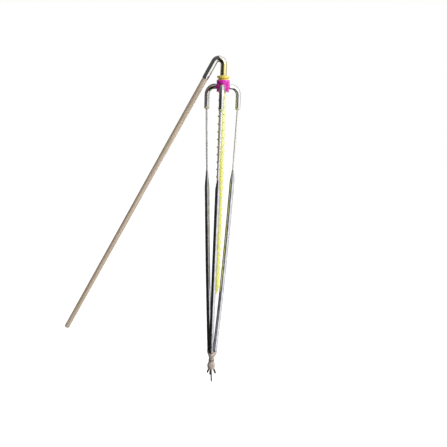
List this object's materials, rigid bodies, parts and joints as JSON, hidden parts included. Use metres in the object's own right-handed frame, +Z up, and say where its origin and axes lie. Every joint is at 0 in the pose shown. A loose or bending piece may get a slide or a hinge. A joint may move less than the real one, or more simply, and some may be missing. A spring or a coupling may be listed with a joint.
{
  "type": "rotating sparkler",
  "caption": "Hand-held rotating sparkler: a wooden stick and bent tube carry a helical rod, on which a hub with pipe arms spins hanging sparklers gathered at their tips.",
  "frame": {"origin": "grip point on the handle stick's axis, 60 mm above its butt end", "axes": "+Z up along the hanging rod; +X from the grip towards the rod, in the plane of the stick and the rod; -Y is the front, the side of the arm that points at the viewer"},
  "size_m": [0.1995, 0.0338, 0.3847],
  "materials": {
    "wood": "plain sanded pale wood",
    "polished_tube": "polished",
    "arm_tube": "polished",
    "yellow_plastic": "glossy moulded",
    "collar_plastic": "glossy moulded",
    "magenta_plastic": "glossy moulded",
    "plug_plastic": "satin moulded",
    "steel_wire": "drawn, bright",
    "sparkler_coat": "dipped, grainy, dark grey",
    "primer": "matt black, rough",
    "wrap_paper": "crumpled, matt",
    "tie_thread": "twisted thread",
    "wick_cord": "dusty cord"
  },
  "bodies": {
    "handle": {"handle_stick": "wood"},
    "hanger": {"bent_tube": "polished_tube", "screw_rod": "yellow_plastic"},
    "carriage": {"push_collar": "collar_plastic"},
    "rotor": {"hub": "magenta_plastic", "arm_left": "arm_tube", "arm_plug_left": "plug_plastic", "sparkler_wire_left": "steel_wire", "sparkler_coat_left": "sparkler_coat", "primer_end_left": "primer", "arm_front": "arm_tube", "arm_plug_front": "plug_plastic", "sparkler_wire_front": "steel_wire", "sparkler_coat_front": "sparkler_coat", "primer_end_front": "primer", "arm_right": "arm_tube", "arm_plug_right": "plug_plastic", "sparkler_wire_right": "steel_wire", "sparkler_coat_right": "sparkler_coat", "primer_end_right": "primer", "tip_wrap": "wrap_paper", "wrap_tie": "tie_thread", "wick": "wick_cord"}
  },
  "joints": [
    {"name": "stick_pull", "type": "slide", "parent": "handle", "child": "hanger", "axis": [0.481, 0, 0.8767], "range_m": [0, 0.015]},
    {"name": "hub_travel", "type": "slide", "parent": "hanger", "child": "carriage", "axis": [0, 0, -1], "range_m": [0, 0.205]},
    {"name": "hub_spin", "type": "hinge", "parent": "carriage", "child": "rotor", "pos_m": [0.14926, 0, 0.23775], "axis": [0, 0, 1], "continuous": true}
  ],
  "couplings": [
    {"joint": "hub_spin", "follows": "hub_travel", "rad_per_m": -785.4}
  ]
}
